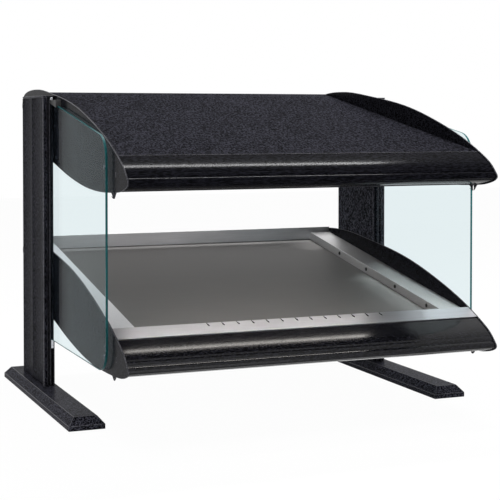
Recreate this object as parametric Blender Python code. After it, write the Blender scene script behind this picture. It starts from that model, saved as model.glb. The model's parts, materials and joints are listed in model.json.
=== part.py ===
import math

import bmesh
import bpy
from mathutils import Matrix, Vector

# Heated merchandiser: a hood and a sloping heated shelf between two fluted posts.
# Lengths are in metres. X is across, Y runs from the front to the rear, Z is up.
# The origin is on the table, under the middle of the feet and end caps.

# Clearances
touch_gap = 0.0003            # between two pieces that meet
screw_gap = 0.0003            # round a screw in its hole
turn_gap = 0.0004             # round a piece that turns
cut_over = 0.002              # how far a cutter runs past the face that it cuts

# Overall sizes
body_half_width = 0.3133      # hood and shelf, from the middle to their ends
tier_rise = 0.2794            # from a place on the shelf to the same place on the hood
sheet = 0.0012                # folded steel sheet

# End caps: one wing-shaped outline for both tiers
cap_length = 0.700
cap_height = 0.1683
cap_base = 0.1022             # lowest point of the shelf's cap above the table
cap_thickness = 0.002
cap_outline_shares = [        # from nose to tail, and up, beginning at the tail
    (1.000, 0.841), (0.987, 0.921), (0.960, 0.966), (0.911, 0.992), (0.847, 1.000),
    (0.761, 0.988), (0.619, 0.924), (0.490, 0.853), (0.390, 0.773), (0.297, 0.674),
    (0.211, 0.567), (0.140, 0.463), (0.076, 0.348), (0.033, 0.255), (0.009, 0.169),
    (0.000, 0.119), (0.010, 0.077), (0.044, 0.039), (0.090, 0.018), (0.193, 0.000),
    (0.297, 0.010), (0.397, 0.048), (0.530, 0.131), (0.747, 0.309), (0.861, 0.437),
    (0.933, 0.556), (0.976, 0.674), (0.996, 0.775)]
lug_from_nose = 0.0745        # the lug below each cap
hood_lug_width = 0.027
hood_lug_drop = 0.0095
lug_hole_width = 0.010
lug_hole_height = 0.005
lug_hole_drop = 0.0046        # hole centre below the cap's edge
shelf_lug_width = 0.022
shelf_lug_drop = 0.0065

# Front bumpers: one reeded extrusion for both tiers
bumper_inset = 0.002          # how far it stays inside the cap's outline
bumper_wall = 0.0025
crease_from_nose = 0.0594     # where its top edge ends
under_from_nose = 0.050       # where its bottom edge ends
reed_start = 0.0594           # along the outline from the top edge
reed_pitch = 0.010
reed_depth = 0.0013
reed_count = 2
line_place = 0.0505           # a fine line above the reeds
line_depth = 0.0005
line_half_width = 0.0016

# Hood
hood_slope = math.radians(10.0)
hood_tail = 0.042             # from its rear edge to the cap's tail
hood_depth = 0.053
panel_thickness = 0.0015
under_reach = 0.0155          # how far the bottom panels reach in front of the crease
mouth_place_share = 0.494     # middle of the opening for the heat, along the hood
mouth_width = 0.130
mouth_length = 0.500
reflector_top = 0.050
reflector_height = 0.038
reflector_flange = 0.014
reflector_sheet = 0.0008
element_diameter = 0.0095
element_height = 0.018        # above the bottom panel
element_end = 0.010           # sheath past each bracket, and the terminal pin past the sheath
guard_bar = 0.0025
guard_rim = 0.008
guard_columns = 16
guard_rows = 3
light_centre = 0.070
light_length = 0.460
light_width = 0.022
lens_thickness = 0.003
lens_flange = 0.004
light_housing_width = 0.040
light_housing_height = 0.024
light_housing_flange = 0.008
light_strip_width = 0.012
light_strip_thickness = 0.0016

# Shelf
shelf_slope = math.radians(9.62)
deck_rise = 0.0016            # side rails above the bumper's top edge
shelf_tail = 0.0278           # from the control panel's face to the cap's tail
shelf_depth = 0.052
rear_cover_length = 0.0345    # from the rear rail's front face to the control panel's face
upstand_height = 0.0105       # rear rail above the side rails
rail_width = 0.0423
tray_depth = 0.0146           # side rails above the hot plate
frame_skirt = 0.007           # how far the tray's frame reaches below the hot plate
strip_from_nose = 0.0878      # rear edge of the front strip
strip_inset = 0.0003          # strip below the cap's edge
notch_count = 13
notch_pitch = 0.0253
notch_middle = -0.0095
notch_length = 0.0072        # from the edge to the middle of the hole
notch_width = 0.0014
notch_hole_width = 0.0034
notch_hole_length = 0.0064
notch_lean = math.radians(12.0)
notch_depth = 0.0035
plate_thickness = 0.003
heater_thickness = 0.002
pan_lip = 0.012
cutout_place_share = 0.483    # thermal cut-out, along the shelf
cutout_across = 0.060
cutout_diameter = 0.018
cutout_height = 0.008

# Feet
foot_length = 0.4903
foot_width = 0.060
foot_behind_post = 0.0665
foot_beyond_post = 0.022      # outside the post
foot_top = 0.0225
foot_side_height = 0.008      # upright part of its side
foot_bevel = 0.0155
pad_thickness = 0.0015
pad_margin = 0.010
foot_plate_thickness = 0.003  # recessed under each foot, with two welded studs
foot_plate_margin = 0.016

# Posts
post_before_tail = 0.263      # its front face, before the cap's tail
post_length = 0.1625
post_rise = 0.1547            # its top, with its cap, above the lowest point of the hood's cap
post_cap_thickness = 0.0025
groove_wall = 0.0032          # from the end caps to the glass groove
groove_setback = 0.008        # that wall behind the outer lip
groove_depth = 0.035
fence_width = 0.0023
fence_setback = 0.002
recess_width = 0.004
recess_depth = 0.010
lip_width = 0.008
lip_length = 0.0085
flute_ridge = 0.0025
flute_depth = 0.0018
flute_steps = 8
post_corner = 0.0035
chamber_wall = 0.0042
chamber_start = 0.073         # behind the post's front
chamber_length = 0.062

# Glass
glass_thickness = 0.004
glass_from_nose = 0.0917
glass_lift = 0.0033           # bottom edge above the lowest point of the shelf's cap
glass_rise = 0.0917           # top edge where the front corner begins, above that of the hood's cap
glass_slope = math.radians(9.65)
glass_corner = 0.040
glass_corner_steps = 10
glass_in_groove = 0.028
stop_height = 0.015
stop_length = 0.031
clip_before_post = 0.0463
clip_length = 0.046
clip_rise = 0.1466            # its top, above the lowest point of the hood's cap
clip_lap = 0.002              # how far it reaches down over the glass
clip_wall = 0.0024

# Studs and screws
stud_diameter = 0.006
stud_reach = 0.013            # of the tiers' studs, into the post
foot_stud_reach = 0.024       # of the feet's studs, into the post
hanger_thickness = 0.002      # plate inside the shelf that carries its studs
hanger_margin = 0.014
screw_head = 0.0065
screw_head_height = 0.0016
cap_screw_places = [          # behind the nose, above the cap's base
    (0.118, 0.0395), (0.122, 0.0255)]
cap_slot_place = (0.0615, 0.030)
cap_slot_width = 0.002
cap_slot_height = 0.006
rail_screw_start = 0.0965     # along the slope
rail_screw_pitch = 0.1165
rail_screw_count = 4

# Controls on the rear panel
power_switch_from_end = 0.0833
lamp_from_end = 0.1233
light_switch_from_end = 0.1633
hood_control_across = -0.050
thermostat_across = 0.040
terminal_from_end = 0.1433
gland_from_end = 0.0733
panel_screw_from_end = 0.0183
switch_flange_width = 0.024
switch_flange_height = 0.034
switch_flange_thickness = 0.002
switch_body_width = 0.020
switch_body_height = 0.030
switch_body_depth = 0.020
switch_wall = 0.0018
pocket_depth = 0.010
rocker_tip = math.radians(8.0)
rocker_pivot_depth = 0.0045
rocker_rise = 0.0035
rocker_thickness = 0.007
rocker_pin = 0.003
rocker_pin_reach = 0.001
control_body_diameter = 0.030
control_body_depth = 0.020
bush_diameter = 0.009
bush_length = 0.006
shaft_diameter = 0.006
shaft_in_body = 0.010
shaft_in_knob = 0.010
knob_diameter = 0.026
knob_skirt_diameter = 0.030
knob_skirt = 0.003
knob_height = 0.014
knob_clearance = 0.001
knob_flutes = 12
lamp_diameter = 0.009
lamp_bezel = 0.013
lamp_bezel_height = 0.002
lamp_dome = 0.0035
lamp_body_depth = 0.016
gland_diameter = 0.016
gland_hex = 0.022
gland_hex_height = 0.005
gland_dome = 0.011
gland_bore = 0.008
gland_nut_height = 0.004
terminal_length = 0.046
terminal_depth = 0.016
terminal_height = 0.014
terminal_ways = 4

# Places that follow from the sizes above
cap_inner = body_half_width + touch_gap
cap_outer = cap_inner + cap_thickness
cap_nose = -cap_length / 2
post_inner = cap_outer + touch_gap
glass_inner = post_inner + groove_wall + touch_gap
glass_outer = glass_inner + glass_thickness
groove_outer = glass_outer + touch_gap
post_outer = groove_outer + fence_width + recess_width + lip_width
foot_outer = post_outer + foot_beyond_post
foot_inner = foot_outer - foot_width
post_front = cap_nose + cap_length - post_before_tail
post_rear = post_front + post_length
post_top = cap_base + tier_rise + post_rise
foot_rear = post_rear + foot_behind_post
glass_front = cap_nose + glass_from_nose
glass_bottom = cap_base + glass_lift
glass_front_height = cap_base + tier_rise + glass_rise
clip_front = post_front - clip_before_post
clip_top = cap_base + tier_rise + clip_rise
crease_y = cap_nose + crease_from_nose
hood_length = (cap_length - crease_from_nose - hood_tail) / math.cos(hood_slope)
shelf_length = (cap_length - crease_from_nose - shelf_tail) / math.cos(shelf_slope)
rear_rail_place = shelf_length - rear_cover_length
mouth_centre = hood_length * mouth_place_share
cutout_place = shelf_length * cutout_place_share
body_length = shelf_length - panel_thickness
power_switch_across = power_switch_from_end - body_half_width
lamp_across = lamp_from_end - body_half_width
light_switch_across = light_switch_from_end - body_half_width
terminal_across = body_half_width - terminal_from_end
gland_across = body_half_width - gland_from_end
panel_screw_across = body_half_width - panel_screw_from_end
sides = {"left": -1, "right": 1}


# Materials

def finish(name, colour, roughness, metallic, alpha=1.0, transmission=0.0):
    made = bpy.data.materials.get(name)
    if made is None:
        made = bpy.data.materials.new(name)
        made.use_nodes = True
        shader = made.node_tree.nodes["Principled BSDF"]
        shader.inputs["Base Color"].default_value = (*colour, 1.0)
        shader.inputs["Roughness"].default_value = roughness
        shader.inputs["Metallic"].default_value = metallic
        shader.inputs["Alpha"].default_value = alpha
        shader.inputs["Transmission Weight"].default_value = transmission
    return made


def black_coat():
    return finish("black_powder_coat", (0.028, 0.028, 0.032), 0.55, 0.0)


def black_extrusion():
    return finish("black_coated_extrusion", (0.022, 0.022, 0.026), 0.42, 0.0)


def stainless():
    return finish("brushed_stainless", (0.62, 0.62, 0.63), 0.32, 1.0)


def plate_metal():
    return finish("hot_plate_metal", (0.30, 0.29, 0.28), 0.30, 1.0)


def galvanised():
    return finish("galvanised_sheet", (0.50, 0.51, 0.52), 0.50, 1.0)


def reflector_metal():
    return finish("polished_aluminium", (0.80, 0.80, 0.80), 0.20, 1.0)


def element_metal():
    return finish("element_sheath", (0.20, 0.15, 0.12), 0.45, 1.0)


def heater_metal():
    return finish("aluminium_heater", (0.55, 0.55, 0.56), 0.45, 1.0)


def ceramic():
    return finish("white_ceramic", (0.80, 0.78, 0.72), 0.40, 0.0)


def clear_glass():
    return finish("tempered_glass", (0.85, 0.95, 0.94), 0.02, 0.0, 0.35, 1.0)


def zinc():
    return finish("zinc_plated_steel", (0.60, 0.60, 0.60), 0.35, 1.0)


def black_plastic():
    return finish("black_plastic", (0.020, 0.020, 0.020), 0.40, 0.0)


def red_plastic():
    return finish("red_lamp_plastic", (0.55, 0.03, 0.02), 0.25, 0.0)


def frosted_plastic():
    return finish("frosted_plastic", (0.85, 0.85, 0.82), 0.50, 0.0)


def wool():
    return finish("mineral_wool", (0.55, 0.50, 0.35), 0.95, 0.0)


def rubber():
    return finish("black_rubber", (0.018, 0.018, 0.018), 0.80, 0.0)


# Making objects

def frame_at(name, y, z, slope):
    # An empty whose Y axis runs up a tier's slope.
    empty = bpy.data.objects.new(name, None)
    bpy.context.scene.collection.objects.link(empty)
    empty.location = (0, y, z)
    empty.rotation_euler = (slope, 0, 0)
    return empty


def keep(name, shape, material, parent=None, place=(0, 0, 0), turn=(0, 0, 0), smooth=None):
    mesh = bpy.data.meshes.new(name)
    bmesh.ops.recalc_face_normals(shape, faces=shape.faces)
    shape.to_mesh(mesh)
    shape.free()
    if material is not None:
        mesh.materials.append(material)
    if smooth is not None:
        mesh.shade_smooth()
        mesh.set_sharp_from_angle(angle=smooth)
    made = bpy.data.objects.new(name, mesh)
    bpy.context.scene.collection.objects.link(made)
    made.parent = parent
    made.location = place
    made.rotation_euler = turn
    return made


def cut(target, shape, parent=None, place=(0, 0, 0), turn=(0, 0, 0), operation="DIFFERENCE"):
    cutter = keep(target.name + "_guide", shape, None, parent, place, turn)
    cutter.hide_render = True
    cutter.display_type = "WIRE"
    boolean = target.modifiers.new("cut", "BOOLEAN")
    boolean.operation = operation
    boolean.solver = "EXACT"
    boolean.object = cutter
    return cutter


def add_block(shape, low, high):
    # One more box in the shape, from its low corner to its high corner.
    size = [b - a for a, b in zip(low, high)]
    middle = [(a + b) / 2 for a, b in zip(low, high)]
    made = bmesh.ops.create_cube(shape, size=1.0)
    bmesh.ops.scale(shape, vec=size, verts=made["verts"])
    bmesh.ops.translate(shape, vec=middle, verts=made["verts"])


def block(low, high):
    shape = bmesh.new()
    add_block(shape, low, high)
    return shape


def low_high(a, b):
    # Two opposite corners, sorted into the low one and the high one.
    return tuple(map(min, a, b)), tuple(map(max, a, b))


def add_prism(shape, points, along, start, end):
    # A closed outline in the plane across one axis, pulled along that axis.
    order = {"x": (0, 1, 2), "y": (1, 0, 2), "z": (2, 0, 1)}[along]

    def spot(point, level):
        place = [0.0, 0.0, 0.0]
        place[order[0]] = level
        place[order[1]] = point[0]
        place[order[2]] = point[1]
        return place

    corners = [shape.verts.new(spot(point, start)) for point in points]
    face = shape.faces.new(corners)
    pulled = bmesh.ops.extrude_face_region(shape, geom=[face], use_keep_orig=True)
    moved = [item for item in pulled["geom"] if isinstance(item, bmesh.types.BMVert)]
    bmesh.ops.translate(shape, vec=Vector(spot((0, 0), end - start)), verts=moved)


def prism(points, along, start, end):
    shape = bmesh.new()
    add_prism(shape, points, along, start, end)
    return shape


def folded(points, thickness):
    # The outline of a sheet bent along a line: the line, then the line moved to its left side.
    moved = []
    last = len(points) - 1
    for index, point in enumerate(points):
        here = Vector(point)
        before = here - Vector(points[index - 1]) if index > 0 else None
        after = Vector(points[index + 1]) - here if index < last else None
        legs = [leg.normalized() for leg in (before, after) if leg is not None]
        normals = [Vector((-leg.y, leg.x)) for leg in legs]
        middle = sum(normals, Vector((0, 0))).normalized()
        moved.append(here + middle * (thickness / middle.dot(normals[0])))
    return [tuple(point) for point in points] + [tuple(point) for point in reversed(moved)]


def turned(profile, segments=24):
    # A closed profile of (radius, height) points, spun once round the Z axis.
    shape = bmesh.new()
    verts = [shape.verts.new((radius, 0, height)) for radius, height in profile]
    edges = [shape.edges.new(pair) for pair in zip(verts, verts[1:])]
    if min(profile[0][0], profile[-1][0]) > 0:
        edges.append(shape.edges.new((verts[-1], verts[0])))
    bmesh.ops.spin(shape, geom=verts + edges, cent=(0, 0, 0), axis=(0, 0, 1),
                   angle=math.tau, steps=segments, use_merge=True)
    bmesh.ops.remove_doubles(shape, verts=shape.verts, dist=touch_gap / 100)
    return shape


def add_rod(shape, radius, start, end, segments=24, across=None):
    # A round bar between two points. Across makes it oval in its first direction.
    start = Vector(start)
    line = Vector(end) - start
    turn = line.to_track_quat("Z", "Y").to_matrix().to_4x4()
    place = Matrix.Translation(start + line / 2) @ turn
    if across is not None:
        place = place @ Matrix.Diagonal((1.0, across / radius, 1.0, 1.0))
    bmesh.ops.create_cone(shape, cap_ends=True, segments=segments, radius1=radius,
                          radius2=radius, depth=line.length, matrix=place)


def rod(radius, start, end, segments=24, across=None):
    shape = bmesh.new()
    add_rod(shape, radius, start, end, segments, across)
    return shape


def add_head(shape, place, direction, segments=12):
    # A pan-shaped screw head, joined to the piece that it holds and standing out of its face.
    radius = screw_head / 2
    made = turned([(0, -screw_head_height / 2), (radius, -screw_head_height / 2),
                   (radius, screw_head_height / 2), (radius * 0.7, screw_head_height),
                   (0, screw_head_height)], segments)
    turn = Vector(direction).to_track_quat("Z", "Y").to_matrix().to_4x4()
    add_copy(shape, made, Matrix.Translation(Vector(place)) @ turn)


def add_copy(shape, made, matrix):
    # Moves a finished shape to its place and puts it in a larger one.
    bmesh.ops.transform(made, matrix=matrix, verts=made.verts)
    mesh = bpy.data.meshes.new("copy")
    made.to_mesh(mesh)
    made.free()
    shape.from_mesh(mesh)
    bpy.data.meshes.remove(mesh)


# Outlines that several pieces share

def smooth_loop(points, steps):
    # A closed curve through the points, with the same number of steps in each span.
    made = []
    count = len(points)
    for index in range(count):
        a, b, c, d = (Vector(points[(index + shift) % count]) for shift in (-1, 0, 1, 2))
        for step in range(steps):
            t = step / steps
            made.append(0.5 * (2 * b + (c - a) * t + (2 * a - 5 * b + 4 * c - d) * t ** 2
                               + (3 * b - a - 3 * c + d) * t ** 3))
    return made


def cap_outline(steps):
    points = [(cap_nose + along * cap_length, cap_base + up * cap_height)
              for along, up in cap_outline_shares]
    return smooth_loop(points, steps)


def inset(points, distance):
    # The closed outline moved inwards. It runs anticlockwise seen with Y to the right.
    made = []
    for index, point in enumerate(points):
        run = (points[(index + 1) % len(points)] - points[index - 1]).normalized()
        made.append(point + Vector((-run.y, run.x)) * distance)
    return made


def crossing(a, b, y):
    return a.lerp(b, (y - a.x) / (b.x - a.x))


def upper_edge(y):
    # The cap's upper edge at a place behind the nose.
    points = cap_outline(6)
    for a, b in zip(points, points[1:]):
        if b.x <= y <= a.x and a.y > cap_base + cap_height / 8:
            return crossing(a, b, y)
    return points[0]


def nose_path(distance):
    # The inset outline from the bumper's top edge, round the nose, to its bottom edge.
    points = inset(cap_outline(12), distance)
    path = []
    top_y = crease_y
    under_y = cap_nose + under_from_nose
    for a, b in zip(points, points[1:]):
        if not path and b.x < top_y <= a.x:
            path.append(crossing(a, b, top_y))
        if path:
            if a.x < under_y <= b.x:
                path.append(crossing(a, b, under_y))
                break
            path.append(b)
    return path


def along_path(path):
    lengths = [0.0]
    for a, b in zip(path, path[1:]):
        lengths.append(lengths[-1] + (b - a).length)
    return lengths


def reed_cut(place):
    # How deep the bumper's reeds and fine line are at a place along its outline.
    depth = 0.0
    reed_end = reed_start + reed_count * reed_pitch
    if reed_start <= place <= reed_end:
        depth = reed_depth * (1 - abs(math.sin(math.pi * (place - reed_start) / reed_pitch)))
    for edge in (reed_start, reed_end):
        outside = place < reed_start if edge == reed_start else place > reed_end
        if outside:
            depth = max(depth, reed_depth * (1 - abs(place - edge) / line_half_width))
    return max(depth, line_depth * (1 - abs(place - line_place) / line_half_width))


crease = nose_path(bumper_inset)[0]


def in_tier(y, z, slope):
    # A place in the shelf's height, turned into the tier's own sloping frame.
    dy = y - crease.x
    dz = z - crease.y
    return Vector((dy * math.cos(slope) + dz * math.sin(slope),
                   dz * math.cos(slope) - dy * math.sin(slope)))


def tier_middle(y, slope, top, depth):
    # Height of the middle of a tier's body above the table, in the shelf's place.
    return crease.y + (y - crease.x) * math.tan(slope) + (top - depth / 2) / math.cos(slope)


# Places of the studs, used by caps, plates, rails, feet and posts

def stud_rows():
    return (post_front + groove_setback + groove_depth
            + (chamber_start - groove_setback - groove_depth) / 2,
            (post_front + chamber_start + chamber_length + post_rear) / 2)


def shelf_stud_places():
    return [(y, tier_middle(y, shelf_slope, deck_rise, shelf_depth)) for y in stud_rows()]


def hood_stud_places():
    return [(y, tier_rise + tier_middle(y, hood_slope, 0, hood_depth)) for y in stud_rows()]


def stud_shape(places, side, radius, start, end):
    # Round bars across X, for studs or for the holes that they pass through.
    shape = bmesh.new()
    for y, z in places:
        add_rod(shape, radius, (side * start, y, z), (side * end, y, z), 16)
    return shape


def stud_holes(target, places, side, start, end):
    cut(target, stud_shape(places, side, stud_diameter / 2 + screw_gap, start, end))


# End caps

def end_cap(name, side, rise, lug_width, lug_drop, studs, screws, lug_steps=10):
    outline = []
    lug_y = cap_nose + lug_from_nose
    lug_half = lug_width / 2
    points = cap_outline(3)
    lug_done = False
    for a, b in zip(points, points[1:] + points[:1]):
        on_bottom = a.y < cap_base + cap_height / 8 and b.x > a.x
        if not (on_bottom and abs(a.x - lug_y) < lug_half):
            outline.append(a)
        if on_bottom and not lug_done and b.x > lug_y - lug_half:
            lug_done = True
            for step in range(lug_steps + 1):
                share = 2 * step / lug_steps - 1
                y = lug_y + share * lug_half
                drop = lug_drop * (1 + math.cos(math.pi * share)) / 2
                outline.append(Vector((y, bottom_edge(y) - drop)))
    lifted = [(point.x, point.y + rise) for point in outline]
    cap = keep(name, prism(lifted, "x", side * cap_inner, side * cap_outer), black_coat())
    stud_holes(cap, studs, side, cap_inner - cut_over, cap_outer + cut_over)
    slot_y = cap_nose + cap_slot_place[0]
    slot_z = cap_base + rise + cap_slot_place[1]
    slot = block((-cap_outer - cut_over, slot_y - cap_slot_width / 2, slot_z - cap_slot_height / 2),
                 (cap_outer + cut_over, slot_y + cap_slot_width / 2, slot_z + cap_slot_height / 2))
    cut(cap, slot)
    heads = bmesh.new()
    for along, up in screws:
        add_head(heads, (side * cap_outer, cap_nose + along, cap_base + rise + up), (side, 0, 0))
    cut(cap, heads, operation="UNION")
    return cap


def bottom_edge(y):
    points = cap_outline(6)
    for a, b in zip(points, points[1:]):
        if a.x <= y < b.x and a.y < cap_base + cap_height / 2:
            return crossing(a, b, y).y
    return cap_base


def make_end_caps():
    for word, side in sides.items():
        end_cap(f"shelf_{word}_end_cap", side, 0, shelf_lug_width, shelf_lug_drop,
                shelf_stud_places(), cap_screw_places)
        cap = end_cap(f"hood_{word}_end_cap", side, tier_rise, hood_lug_width, hood_lug_drop,
                      hood_stud_places(), cap_screw_places[:1])
        lug_y = cap_nose + lug_from_nose
        hole_z = bottom_edge(lug_y) + tier_rise - lug_hole_drop
        cut(cap, rod(lug_hole_height / 2, (side * (cap_inner - cut_over), lug_y, hole_z),
                     (side * (cap_outer + cut_over), lug_y, hole_z), 16, lug_hole_width / 2))


# Front bumpers

def bumper_section(rise, samples=84):
    path = nose_path(bumper_inset)
    lengths = along_path(path)
    outer = []
    spot = 0
    for index in range(samples + 1):
        place = lengths[-1] * index / samples
        while spot < len(path) - 2 and lengths[spot + 1] < place:
            spot += 1
        a, b = path[spot], path[spot + 1]
        run = (b - a).normalized()
        share = (place - lengths[spot]) / (lengths[spot + 1] - lengths[spot])
        outer.append(a.lerp(b, share) + Vector((-run.y, run.x)) * reed_cut(place))
    inner = nose_path(bumper_inset + bumper_wall)[::4]
    return [(point.x, point.y + rise) for point in outer + inner[::-1]]


def make_bumpers():
    for tier, rise in (("shelf", 0), ("hood", tier_rise)):
        keep(f"{tier}_front_bumper",
             prism(bumper_section(rise), "x", -body_half_width, body_half_width),
             black_extrusion(), smooth=math.radians(35))


# Hood

def make_hood_shell(hood):
    half = body_half_width
    end = hood_length
    low = -hood_depth
    floor = low + panel_thickness + touch_gap
    front = touch_gap + bumper_wall / 3
    top = [(touch_gap, 0), (end, 0), (end, floor), (end - panel_thickness, floor),
           (end - panel_thickness, -panel_thickness), (front, -panel_thickness)]
    keep("hood_top_panel", prism(top, "x", -half, half), black_coat(), hood)
    under = block((-half, -under_reach, low), (half, end, low + panel_thickness))
    panel = keep("hood_bottom_panel", under, black_coat(), hood)
    mouths = bmesh.new()
    for centre, width, length in ((mouth_centre, mouth_width, mouth_length),
                                  (light_centre, light_width, light_length)):
        add_block(mouths, (-length / 2, centre - width / 2, low - cut_over),
                  (length / 2, centre + width / 2, low + panel_thickness + cut_over))
    cut(panel, mouths, hood)
    for word, side in sides.items():
        plate = block(*low_high((side * half, touch_gap + bumper_wall, floor),
                                (side * (half - sheet), end - panel_thickness - touch_gap,
                                 -panel_thickness - touch_gap)))
        made = keep(f"hood_{word}_end_plate", plate, galvanised(), hood)
        cut(made, stud_shape(hood_stud_places(), side, stud_diameter / 2, half - sheet / 2,
                             post_inner + stud_reach), operation="UNION")


def make_heat(hood):
    floor = -hood_depth + panel_thickness + touch_gap
    half_mouth = mouth_width / 2
    trough_end = (mouth_length + sheet) / 2 + touch_gap
    line = [(mouth_centre - half_mouth - reflector_flange, floor),
            (mouth_centre - half_mouth, floor),
            (mouth_centre - reflector_top / 2, floor + reflector_height),
            (mouth_centre + reflector_top / 2, floor + reflector_height),
            (mouth_centre + half_mouth, floor),
            (mouth_centre + half_mouth + reflector_flange, floor)]
    keep("hood_reflector", prism(folded(line, reflector_sheet), "x", -trough_end, trough_end),
         reflector_metal(), hood)
    centre_z = floor + element_height
    near = trough_end + touch_gap
    reach = near + sheet + element_end
    radius = element_diameter / 2
    pin = radius / 2
    tip = reach + element_end
    element = turned([(0, -tip), (pin, -tip), (pin, -reach), (radius, -reach), (radius, reach),
                      (pin, reach), (pin, tip), (0, tip)], 20)
    keep("hood_heating_element", element, element_metal(), hood, (0, mouth_centre, centre_z),
         (0, math.pi / 2, 0), math.radians(40))
    outline = [(mouth_centre - half_mouth, floor), (mouth_centre + half_mouth, floor),
               (mouth_centre + reflector_top / 2, floor + reflector_height),
               (mouth_centre - reflector_top / 2, floor + reflector_height)]
    for word, side in sides.items():
        bracket = keep(f"{word}_element_bracket",
                       prism(outline, "x", side * near, side * (near + sheet)), galvanised(), hood)
        cut(bracket, rod(radius + touch_gap, (side * (near - cut_over), mouth_centre, centre_z),
                         (side * (near + sheet + cut_over), mouth_centre, centre_z), 20), hood)


def lattice(width, length, bar, rim, columns, rows, low, high):
    # A flat grid of bars inside a rim.
    def lines(size, count):
        cell = (size - 2 * rim - (count - 1) * bar) / count
        places = [-size / 2]
        edge = -size / 2 + rim
        for _ in range(count):
            places += [edge, edge + cell]
            edge += cell + bar
        return places + [size / 2]

    xs = lines(length, columns)
    ys = lines(width, rows)
    shape = bmesh.new()
    verts = [[shape.verts.new((x, y, low)) for y in ys] for x in xs]
    for i in range(len(xs) - 1):
        for j in range(len(ys) - 1):
            if i % 2 == 0 or j % 2 == 0:
                shape.faces.new((verts[i][j], verts[i + 1][j], verts[i + 1][j + 1], verts[i][j + 1]))
    pulled = bmesh.ops.extrude_face_region(shape, geom=shape.faces[:], use_keep_orig=True)
    moved = [item for item in pulled["geom"] if isinstance(item, bmesh.types.BMVert)]
    bmesh.ops.translate(shape, vec=(0, 0, high - low), verts=moved)
    return shape


def make_guard(hood):
    top = -hood_depth - touch_gap
    shape = lattice(mouth_width + 2 * guard_rim, mouth_length + 2 * guard_rim, guard_bar,
                    guard_rim, guard_columns, guard_rows, top - guard_bar, top)
    keep("element_guard", shape, stainless(), hood, (0, mouth_centre, 0))


def make_light(hood):
    low = -hood_depth
    floor = low + panel_thickness + touch_gap
    half_cut = light_width / 2 - touch_gap
    reach = light_length / 2 - touch_gap
    section = [(light_centre - half_cut, low), (light_centre + half_cut, low),
               (light_centre + half_cut, floor), (light_centre + half_cut + lens_flange, floor),
               (light_centre + half_cut + lens_flange, floor + lens_thickness / 2),
               (light_centre - half_cut - lens_flange, floor + lens_thickness / 2),
               (light_centre - half_cut - lens_flange, floor), (light_centre - half_cut, floor)]
    keep("hood_light_lens", prism(section, "x", -reach, reach), frosted_plastic(), hood)
    half_box = light_housing_width / 2
    half_strip = light_strip_width / 2
    roof = floor + light_housing_height
    wall = reflector_sheet
    flange = light_housing_flange
    strip = roof - light_strip_thickness
    half = [(half_box + flange, floor), (half_box + flange, floor + wall),
            (half_box + wall, floor + wall), (half_box + wall, roof + wall)]
    inside = [(half_strip, strip), (half_strip, roof), (half_box, roof), (half_box, floor)]
    section = half + [(-y, z) for y, z in half[::-1] + inside[::-1]] + inside
    section = [(light_centre + y, z) for y, z in section]
    keep("hood_light_housing", prism(section, "x", -reach, reach), galvanised(), hood)


# Shelf

strip_front = in_tier(crease_y, upper_edge(crease_y).y - strip_inset, shelf_slope)
strip_rear = in_tier(cap_nose + strip_from_nose,
                     upper_edge(cap_nose + strip_from_nose).y - strip_inset, shelf_slope)
tray_top = deck_rise
tray_floor = tray_top - tray_depth
skirt_floor = tray_floor - frame_skirt
tray_half = body_half_width - rail_width
tray_front = strip_rear.x + touch_gap
pan_top = tray_top - shelf_depth + sheet


def strip_under(y):
    # Underside of the front strip at a place along the slope.
    rise = (strip_rear.y - strip_front.y) / (strip_rear.x - strip_front.x)
    return strip_front.y + (y - strip_front.x) * rise - sheet * math.sqrt(1 + rise ** 2)


def rail_front():
    rise = (strip_rear.y - strip_front.y) / (strip_rear.x - strip_front.x)
    meets = strip_front.x + (tray_top + touch_gap - strip_under(strip_front.x)) / rise
    return max(meets, bumper_wall)


def keyhole(steps=8):
    # A slot that opens at the strip's rear edge and ends in an oval hole.
    half = notch_width / 2
    across = notch_hole_width / 2
    along = notch_hole_length / 2
    start = math.asin(half / across)
    shoulder = -notch_length + along * math.cos(start)
    points = [(-half, cut_over), (-half, shoulder)]
    for step in range(1, steps):
        angle = math.pi / 2 + start + (math.tau - 2 * start) * step / steps
        points.append((across * math.cos(angle), -notch_length + along * math.sin(angle)))
    points += [(half, shoulder), (half, cut_over)]
    return points


def make_front_strip(shelf):
    half = body_half_width
    line = [tuple(strip_front), tuple(strip_rear), (strip_rear.x, skirt_floor)]
    outline = folded(line[::-1], sheet)
    strip = keep("shelf_front_strip", prism(outline, "x", -half, half), stainless(), shelf)
    lip = bmesh.new()
    for side in sides.values():
        add_block(lip, *low_high((side * (tray_half - touch_gap), strip_rear.x - 2 * sheet,
                                  skirt_floor - cut_over),
                                 (side * (half + cut_over), strip_rear.x + cut_over,
                                  tray_top + touch_gap)))
    cut(strip, lip, shelf)
    tilt = math.atan2(strip_rear.y - strip_front.y, strip_rear.x - strip_front.x)
    notches = bmesh.new()
    for index in range(notch_count):
        middle = notch_middle + (index - (notch_count - 1) / 2) * notch_pitch
        one = prism(keyhole(), "z", -notch_depth, cut_over)
        spot = Matrix.Translation((middle, strip_rear.x, strip_rear.y))
        turn = Matrix.Rotation(tilt, 4, "X") @ Matrix.Rotation(notch_lean, 4, "Z")
        add_copy(notches, one, spot @ turn)
    cut(strip, notches, shelf)


def rail_screw_spots():
    middle = (tray_top + tray_floor) / 2
    return [(rail_screw_start + index * rail_screw_pitch, middle)
            for index in range(rail_screw_count)]


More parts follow.
